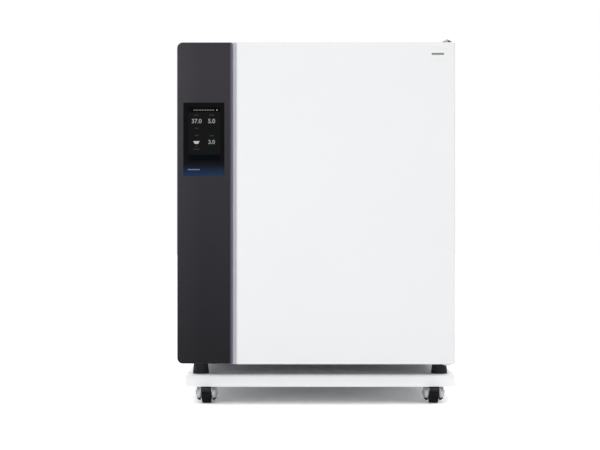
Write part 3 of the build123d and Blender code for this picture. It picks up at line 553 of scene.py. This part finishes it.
class Shape:
    """Collects the points and faces of one piece."""

    def __init__(self):
        self.verts = []
        self.faces = []

    def rings(self, rings, cap_first=True, cap_last=True):
        """Skins a list of rings, each a list of points with the same count."""
        base, count = len(self.verts), len(rings[0])
        for ring in rings:
            self.verts += [tuple(point) for point in ring]
        for level in range(len(rings) - 1):
            near, far = base + level * count, base + (level + 1) * count
            for i in range(count):
                j = (i + 1) % count
                self.faces.append((near + i, near + j, far + j, far + i))
        if cap_first:
            self.faces.append(tuple(range(base, base + count))[::-1])
        if cap_last:
            last = base + (len(rings) - 1) * count
            self.faces.append(tuple(range(last, last + count)))

    def make(self, name, material, body, slot, smooth=None):
        return piece(name, self.verts, self.faces, material, body, smooth)


def rounded_outline(centre, size, radius, steps=6):
    """A rounded rectangle in X and Z, as (x, z) points."""
    points = []
    for turn, (sx, sz) in enumerate(((1, 1), (-1, 1), (-1, -1), (1, -1))):
        corner_x = centre[0] + sx * (size[0] / 2 - radius)
        corner_z = centre[1] + sz * (size[1] / 2 - radius)
        for step in range(steps + 1):
            angle = math.pi / 2 * (turn + step / steps)
            points.append((corner_x + radius * math.cos(angle), corner_z + radius * math.sin(angle)))
    return points


def at_depth(outline, y):
    return [(x, y, z) for x, z in outline]


def tile(shape, centre, size, radius, back, front, bevel=0.0):
    """A rounded slab in a shape: from depth back to depth front, with a bevelled front rim."""
    shoulder = front + bevel
    rings = [at_depth(rounded_outline(centre, size, radius), back)]
    rings.append(at_depth(rounded_outline(centre, size, radius), shoulder))
    if bevel:
        inner_size = (size[0] - 2 * bevel, size[1] - 2 * bevel)
        inner_radius = max(radius - bevel, radius / 3)
        rings.append(at_depth(rounded_outline(centre, inner_size, inner_radius), front))
    shape.rings(rings)


def turned(shape, origin, direction, profile, segments):
    """A lathed form: profile is (distance along direction, radius) pairs."""
    along = Vector(direction).normalized()
    side = along.orthogonal().normalized()
    other = along.cross(side)
    rings = []
    for distance, radius in profile:
        ring = []
        for i in range(segments):
            angle = 2 * math.pi * i / segments
            spoke = side * math.cos(angle) + other * math.sin(angle)
            ring.append(Vector(origin) + along * distance + spoke * radius)
        rings.append(ring)
    shape.rings(rings)


def socket_screw(shape, origin, direction, radius):
    """A button-head screw with a round socket, standing out of a face along direction."""
    height = 0.55 * radius
    dome = [(-0.0003, radius), (0.15 * height, radius), (0.6 * height, 0.86 * radius)]
    dome += [(0.9 * height, 0.62 * radius), (height, 0.5 * radius), (0.55 * height, 0.46 * radius)]
    turned(shape, origin, direction, dome, segments=24)


# ---------------------------------------------------------------- display picture
DISPLAY_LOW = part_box("display_glass")[0]
GLASS_FACE = DISPLAY_LOW.y
# The lit screen is a 7-inch panel standing on end, inside the bezel glass.
SCREEN_W = 89.2 * MM
SCREEN_H = 150.6 * MM
SCREEN_X = DISPLAY_LOW.x + 14.3 * MM
SCREEN_Z = DISPLAY_LOW.z + 42.9 * MM
LAYER = 0.05 * MM


def on_screen(u, v):
    """A place on the lit screen: u from its left edge and v from its top, both 0 to 1."""
    return SCREEN_X + u * SCREEN_W, SCREEN_Z + (1.0 - v) * SCREEN_H


def screen_finish():
    """The screen's background: a dim grey field, a black header and a deep blue footer."""
    screen = Finish("screen_picture", color=(0.0, 0.0, 0.0), roughness=0.1, specular=0.1)
    down = screen.rescale(screen.axis("Z"), SCREEN_Z + SCREEN_H, SCREEN_Z)
    across = screen.rescale(screen.axis("X"), SCREEN_X, SCREEN_X + SCREEN_W)
    header = screen.math("LESS_THAN", down, 0.095)
    footer = screen.math("GREATER_THAN", down, 0.885)
    divider = screen.between(across, 0.496, 0.504)
    field = screen.mix(divider, (0.0058, 0.0060, 0.0062), (0.003, 0.003, 0.0032))
    field = screen.mix(header, field, (0.0006, 0.0006, 0.0008))
    field = screen.mix(footer, field, (0.0002, 0.0008, 0.0018))
    screen.put("Emission Color", field)
    screen.put("Emission Strength", 1.0)
    return screen.material


def flat_tile(shape, u, v, width, height, radius, lift):
    """A small printed mark on the screen; width and height are in metres."""
    centre = on_screen(u, v)
    tile(shape, centre, (width, height), radius, GLASS_FACE - lift + LAYER, GLASS_FACE - lift)


def number(name, text, u, v, height, material):
    """A lit number, centred on the screen at (u, v), as a mesh."""
    curve = bpy.data.curves.new(name, "FONT")
    curve.body = text
    curve.align_x = "CENTER"
    curve.align_y = "CENTER"
    curve.size = height / 0.70
    curve.offset = height * 0.028
    curve.extrude = LAYER / 4
    writing = bpy.data.objects.new(f"{name}_outline", curve)
    bpy.context.scene.collection.objects.link(writing)
    bpy.context.view_layer.update()
    evaluated = writing.evaluated_get(bpy.context.evaluated_depsgraph_get())
    mesh = bpy.data.meshes.new_from_object(evaluated)
    bpy.data.objects.remove(writing)
    bpy.data.curves.remove(curve)
    mesh.materials.clear()
    mesh.materials.append(material)
    x, z = on_screen(u, v)
    upright = Matrix.Translation((x, GLASS_FACE - 3 * LAYER, z)) @ Matrix.Rotation(math.pi / 2, 4, "X")
    mesh.transform(upright)
    obj = bpy.data.objects.new(name, mesh)
    bpy.context.scene.collection.objects.link(obj)
    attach(obj, "door")
    return obj


def dish_symbol(shape, u, v, width, height):
    """A small filled dish: a wide rim over a bowl with a rounded bottom."""
    x, z = on_screen(u, v)
    outline = [(x - width / 2, z + height / 2), (x + width / 2, z + height / 2)]
    for step in range(9):
        angle = math.pi * step / 8
        outline.append((x + 0.36 * width * math.cos(angle), z - 0.5 * height * math.sin(angle) ** 0.6))
    front = GLASS_FACE - 3 * LAYER
    shape.rings([at_depth(outline, front + LAYER), at_depth(outline, front)])


def show(shape, name, color, glow=0.0):
    """Finishes a set of marks on the display in one printed or lit colour."""
    shape.make(name, enamel(f"{name}_ink", color, glow), "door", "display_black")


def build_display():
    background = Shape()
    centre = (SCREEN_X + SCREEN_W / 2, SCREEN_Z + SCREEN_H / 2)
    tile(background, centre, (SCREEN_W, SCREEN_H), 0.6 * MM, GLASS_FACE, GLASS_FACE - LAYER)
    background.make("screen_background", screen_finish(), "door", "display_black")

    lit = enamel("screen_light", (0.50, 0.52, 0.51), glow=0.60)
    number("screen_temperature", "37.0", 0.255, 0.266, 11.6 * MM, lit)
    number("screen_gas_level", "5.0", 0.725, 0.266, 11.6 * MM, lit)
    number("screen_oxygen_level", "3.0", 0.725, 0.655, 11.0 * MM, lit)

    symbols = Shape()
    dish_symbol(symbols, 0.25, 0.662, 18.0 * MM, 8.0 * MM)
    flat_tile(symbols, 0.895, 0.058, 3.0 * MM, 3.0 * MM, 0.4 * MM, 3 * LAYER)
    show(symbols, "screen_symbols", (0.54, 0.55, 0.54), glow=0.95)

    # The header is one row of equal dashes.
    header = Shape()
    for dash in range(8):
        u = 0.19 + dash * 7.4 * MM / SCREEN_W
        flat_tile(header, u, 0.058, 5.4 * MM, 2.2 * MM, 0.7 * MM, 3 * LAYER)
    show(header, "screen_header", (0.5, 0.51, 0.52), glow=0.48)

    captions = Shape()
    titles = ((0.25, 0.150, 13.0), (0.73, 0.150, 15.0), (0.26, 0.530, 11.0), (0.73, 0.535, 12.0))
    notes = ((0.25, 0.395, 12.0), (0.245, 0.785, 19.0), (0.245, 0.735, 8.0))
    for rows, height in ((titles, 2.6), (notes, 2.2)):
        for u, v, width in rows:
            flat_tile(captions, u, v, width * MM, height * MM, 0.8 * MM, 3 * LAYER)
    show(captions, "screen_captions", (0.045, 0.046, 0.047), glow=0.9)

    trends = Shape()
    for u, v, width, height in ((0.73, 0.415, 17, 8), (0.73, 0.785, 15, 9), (0.25, 0.43, 13, 3)):
        flat_tile(trends, u, v, width * MM, height * MM, 1.2 * MM, 2 * LAYER)
    show(trends, "screen_trends", (0.0055, 0.012, 0.0125), glow=0.9)

    footer = Shape()
    for u in (0.25, 0.70):
        flat_tile(footer, u, 0.940, 24.0 * MM, 5.0 * MM, 1.5 * MM, 2 * LAYER)
    show(footer, "screen_buttons", (0.0015, 0.0045, 0.0085), glow=1.0)

    # One plain pale rule printed at the foot of the bezel glass.
    rule = Shape()
    centre = (DISPLAY_LOW.x + 29.0 * MM, DISPLAY_LOW.z + 18.0 * MM)
    tile(rule, centre, (34.0 * MM, 3.0 * MM), 1.2 * MM, GLASS_FACE, GLASS_FACE - LAYER)
    show(rule, "bezel_rule", (0.13, 0.16, 0.24))


# ---------------------------------------------------------------- door pieces
def build_badge():
    """A plain enamel plate with one grey rule, near the door's upper hinge corner."""
    low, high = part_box("door_skin")
    centre = (high.x - 49.0 * MM, high.z - 33.0 * MM)
    front = low.y - 0.9 * MM
    plate = Shape()
    tile(plate, centre, (52.0 * MM, 31.0 * MM), 2.5 * MM, low.y + 0.1 * MM, front, bevel=0.35 * MM)
    white = enamel("badge_enamel", (0.80, 0.80, 0.80))
    plate.make("badge_plate", white, "door", "white_paint", smooth=30)
    rule = Shape()
    tile(rule, centre, (36.0 * MM, 6.0 * MM), 3.0 * MM, front + LAYER, front - 2 * LAYER)
    grey = enamel("badge_rule_ink", (0.25, 0.25, 0.25))
    rule.make("badge_rule", grey, "door", "white_paint")


def build_gasket():
    """Magnetic door gasket: a foot, a bellows and a magnet head, swept round the door."""
    low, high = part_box("door_gasket")
    centre = ((low.x + high.x) / 2, (low.z + high.z) / 2)
    outer_size = (high.x - low.x, high.z - low.z)
    corner = 24.0 * MM
    # (inset from the outer edge, height above the door's liner), in millimetres
    head = [(0.4, 7.9), (1.6, 8.5), (15.0, 8.5), (16.4, 7.9)]
    left_side = [(0.5, 0.0), (0.0, 0.9), (2.2, 2.0), (0.3, 3.2), (2.2, 4.4), (0.2, 5.6)]
    right_side = [(16.6, 5.6), (14.8, 4.4), (16.7, 3.2), (14.8, 2.0), (17.0, 0.9), (16.5, 0.0)]
    rings = []
    for inset, height in left_side + head + right_side:
        size = (outer_size[0] - 2 * inset * MM, outer_size[1] - 2 * inset * MM)
        outline = rounded_outline(centre, size, corner - inset * MM, steps=10)
        rings.append(at_depth(outline, low.y + height * MM))
    gasket = Shape()
    gasket.rings(rings + rings[:1], cap_first=False, cap_last=False)
    bellows = gasket.make("door_gasket_bellows", grey_seal, "door", "grey_rubber", smooth=50)
    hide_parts("door_gasket")


# ---------------------------------------------------------------- fasteners
def build_screws():
    leaf_low, leaf_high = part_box("glass_hinge_leaves")
    leaf_face = -328.0 * MM
    hinge_heights = (leaf_low.z + 20.0 * MM, leaf_high.z - 20.0 * MM)
    leaf = Shape()
    for z in hinge_heights:
        for offset in (-12.0 * MM, 12.0 * MM):
            socket_screw(leaf, (leaf_low.x + 9.0 * MM, leaf_face, z + offset), (0, -1, 0), 3.6 * MM)
    leaf.make("glass_hinge_screws", zinc, "glass_door", "zinc_steel", smooth=35)

    # Painted shade: each screw's cross recess is a thin near-black cross laid on its head.
    recess_shade_crosses = Shape()
    cross_half_thickness = 0.02 * MM
    for centre in screw_centres(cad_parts["rear_screws"].data):
        face = centre.y + cross_half_thickness
        for size in ((4.6 * MM, 1.1 * MM), (1.1 * MM, 4.6 * MM)):
            tile(recess_shade_crosses, (centre.x, centre.z), size, 0.3 * MM, face, face - 2 * cross_half_thickness)
    recess_shade_crosses.make("rear_screw_recess_shade", black_plastic, "cabinet", "black_plastic")

    plate_low, plate_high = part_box("caster_plates")
    # Each bolt sits 9 mm in from its plate's edges.
    plate_size = 62.0 * MM
    inset = 9.0 * MM
    under = plate_high.z - 3.0 * MM
    head = [(-0.2, 5.6), (0.0, 6.0), (3.2, 6.0), (3.7, 5.2)]
    profile = [(along * MM, radius * MM) for along, radius in head]
    bolts = Shape()
    for x in bolt_lines(plate_low.x, plate_high.x, plate_size, inset):
        for y in bolt_lines(plate_low.y, plate_high.y, plate_size, inset):
            turned(bolts, (x, y, under), (0, 0, -1), profile, segments=6)
    bolts.make("caster_plate_bolts", zinc, "cabinet", "zinc_steel")


def bolt_lines(low, high, size, inset):
    """Places along one axis of the bolts in two plates of a given size, at low and at high."""
    return [low + inset, low + size - inset, high - size + inset, high - inset]


def screw_centres(mesh):
    """The middle of each separate screw's outer face, from the joined mesh of the screws."""
    shape = bmesh.new()
    shape.from_mesh(mesh)
    bmesh.ops.remove_doubles(shape, verts=shape.verts, dist=1e-6)
    waiting = set(shape.verts)
    centres = []
    while waiting:
        island, queue = [], [waiting.pop()]
        while queue:
            vert = queue.pop()
            island.append(vert.co.copy())
            for edge in vert.link_edges:
                other = edge.other_vert(vert)
                if other in waiting:
                    waiting.discard(other)
                    queue.append(other)
        low = Vector(map(min, *island))
        high = Vector(map(max, *island))
        centres.append(Vector(((low.x + high.x) / 2, high.y, (low.z + high.z) / 2)))
    shape.free()
    return sorted(centres, key=lambda point: (round(point.x, 4), round(point.z, 4)))


def build_rating_plate():
    """A bare metal label with rows of plain rules, on the electronics housing's back."""
    low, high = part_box("electronics_box")
    face = high.y
    centre = (low.x + 90.0 * MM, high.z - 90.0 * MM)
    plate = Shape()
    tile(plate, centre, (96.0 * MM, 60.0 * MM), 3.0 * MM, face - 0.1 * MM, face + 0.5 * MM)
    plate.make("rating_plate", stainless_x, "cabinet", "stainless", smooth=30)
    rules = Shape()
    for row in range(6):
        z = centre[1] + (20.0 - 8.0 * row) * MM
        for left, width in ((-41.0, 30.0 - 6.0 * (row % 2)), (-3.0, 42.0 - 7.0 * (row % 3))):
            place = (centre[0] + (left + width / 2) * MM, z)
            tile(rules, place, (width * MM, 2.2 * MM), 0.5 * MM, face + 0.45 * MM, face + 0.58 * MM)
    ink = enamel("label_ink", (0.05, 0.05, 0.055))
    rules.make("rating_plate_rules", ink, "cabinet", "black_plastic")


build_display()
build_badge()
build_gasket()
build_screws()
build_rating_plate()


# ---------------------------------------------------------------- floor, light, camera
# The room's light at eye level and overhead: as it falls on things, and as it is mirrored.
DOME_LIGHT = (0.18, 0.90)
DOME_REFLECTION = (0.40, 1.20)
SIDE_LIGHT = 3.5
# Side light starts above this height of the view, so that a low trolley stays in shade.
SIDE_LIGHT_FROM = 0.34
# Brightness of the floor to the camera, under the stand and beyond it; beyond it this is painted light
# that lifts the stand's shadow.
FLOOR_PAINTED_LIGHT = (1.27, 1.62)
CAMERA_DISTANCE = 4.0
CAMERA_HEIGHT = 0.512
CAMERA_X = -0.0578
SENSOR_W = 36.0
# Width of the view at the door's front.
FIELD_W = 1.6824


def build_floor():
    bpy.ops.mesh.primitive_plane_add(size=40.0)
    floor = bpy.context.active_object
    floor.name = "studio_floor"
    paper = Finish("studio_paper", roughness=0.9, specular=0.0)
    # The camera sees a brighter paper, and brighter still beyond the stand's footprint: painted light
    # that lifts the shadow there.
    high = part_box("stand_tray")[1]
    across = paper.math("POWER", paper.math("DIVIDE", paper.axis("X"), high.x), 4.0)
    deep = paper.math("POWER", paper.math("DIVIDE", paper.axis("Y"), high.y), 4.0)
    spread = paper.math("POWER", paper.math("ADD", across, deep), 0.25)
    lift = paper.rescale(spread, 0.88, 1.04, *FLOOR_PAINTED_LIGHT)
    seen = paper.add("ShaderNodeLightPath").outputs["Is Camera Ray"]
    tone = paper.add("ShaderNodeCombineColor")
    for channel in tone.inputs[:3]:
        paper.feed(channel, lift)
    paper.put("Base Color", paper.mix(seen, (0.96, 0.96, 0.96), tone.outputs[0]))
    floor.data.materials.append(paper.material)


def build_world():
    """A white room: pure white to the camera, with a softer band at eye level in reflections."""
    world = bpy.data.worlds.new("studio")
    bpy.context.scene.world = world
    world.use_nodes = True
    tree = world.node_tree
    tree.nodes.clear()
    output = tree.nodes.new("ShaderNodeOutputWorld")
    path = tree.nodes.new("ShaderNodeLightPath")
    place = tree.nodes.new("ShaderNodeTexCoord")
    split = tree.nodes.new("ShaderNodeSeparateXYZ")
    tree.links.new(place.outputs["Generated"], split.inputs[0])

    def combine(operation, a, b):
        node = tree.nodes.new("ShaderNodeMath")
        node.operation = operation
        tree.links.new(a, node.inputs[0])
        if isinstance(b, float):
            node.inputs[1].default_value = b
        else:
            tree.links.new(b, node.inputs[1])
        return node.outputs[0]

    def dome(horizon, zenith, color):
        """Light that grows from a strength at eye level to another overhead."""
        climb = tree.nodes.new("ShaderNodeMapRange")
        for socket, given in zip(climb.inputs[1:5], (0.0, 1.0, horizon, zenith)):
            socket.default_value = given
        tree.links.new(split.outputs["Z"], climb.inputs[0])
        background = tree.nodes.new("ShaderNodeBackground")
        background.inputs["Color"].default_value = color
        tree.links.new(climb.outputs[0], background.inputs["Strength"])
        return background

    seen = dome(1.0, 1.0, (1.0, 1.0, 1.0, 1.0))
    lit = dome(*DOME_LIGHT, (0.985, 0.99, 1.0, 1.0))
    # The room's side walls are lit as well.
    squared = combine("MULTIPLY", split.outputs["X"], split.outputs["X"])
    raised = combine("MULTIPLY", combine("SUBTRACT", split.outputs["Z"], SIDE_LIGHT_FROM), 4.0)
    raised.node.use_clamp = True
    sides = combine("MULTIPLY", combine("POWER", squared, 1.5), raised)
    glow = combine("MULTIPLY", sides, SIDE_LIGHT)
    overhead = lit.inputs["Strength"].links[0].from_socket
    tree.links.new(combine("ADD", overhead, glow), lit.inputs["Strength"])
    mirrored = dome(*DOME_REFLECTION, (1.0, 1.0, 1.0, 1.0))

    def choose(factor, first, second):
        mixer = tree.nodes.new("ShaderNodeMixShader")
        tree.links.new(factor, mixer.inputs[0])
        tree.links.new(first, mixer.inputs[1])
        tree.links.new(second, mixer.inputs[2])
        return mixer.outputs[0]

    glossy = choose(path.outputs["Is Glossy Ray"], lit.outputs[0], mirrored.outputs[0])
    final = choose(path.outputs["Is Camera Ray"], glossy, seen.outputs[0])
    tree.links.new(final, output.inputs["Surface"])


def softbox(name, place, target, size, power):
    """A soft rectangular lamp that is not itself seen in reflections."""
    lamp = bpy.data.lights.new(name, "AREA")
    lamp.shape = "RECTANGLE"
    lamp.size, lamp.size_y = size
    lamp.energy = power
    obj = bpy.data.objects.new(name, lamp)
    obj.location = place
    obj.rotation_euler = (Vector(target) - Vector(place)).to_track_quat("-Z", "Y").to_euler()
    obj.visible_glossy = False
    bpy.context.scene.collection.objects.link(obj)


def build_camera():
    """Level view, square on to the door, from the distance its perspective shows."""
    camera = bpy.data.cameras.new("camera")
    camera.sensor_width = SENSOR_W
    camera.lens = SENSOR_W * CAMERA_DISTANCE / FIELD_W
    obj = bpy.data.objects.new("camera", camera)
    obj.location = (CAMERA_X, cad_low.y - CAMERA_DISTANCE, CAMERA_HEIGHT)
    obj.rotation_euler = (math.pi / 2, 0.0, 0.0)
    bpy.context.scene.collection.objects.link(obj)
    bpy.context.scene.camera = obj


build_floor()
build_world()
softbox("key_light", (-2.1, -4.7, 3.1), (-0.1, -0.4, 0.5), (1.8, 1.8), 46.0)
softbox("front_fill", (-1.7, -4.6, 0.45), (-0.1, -0.4, 0.3), (2.4, 0.8), 30.5)
softbox("hinge_side_fill", (3.0, -1.6, 1.1), (0.37, -0.4, 0.6), (1.2, 2.0), 9.0)
build_camera()
bpy.context.scene.view_settings.view_transform = "Standard"
bpy.context.scene.view_settings.look = "None"
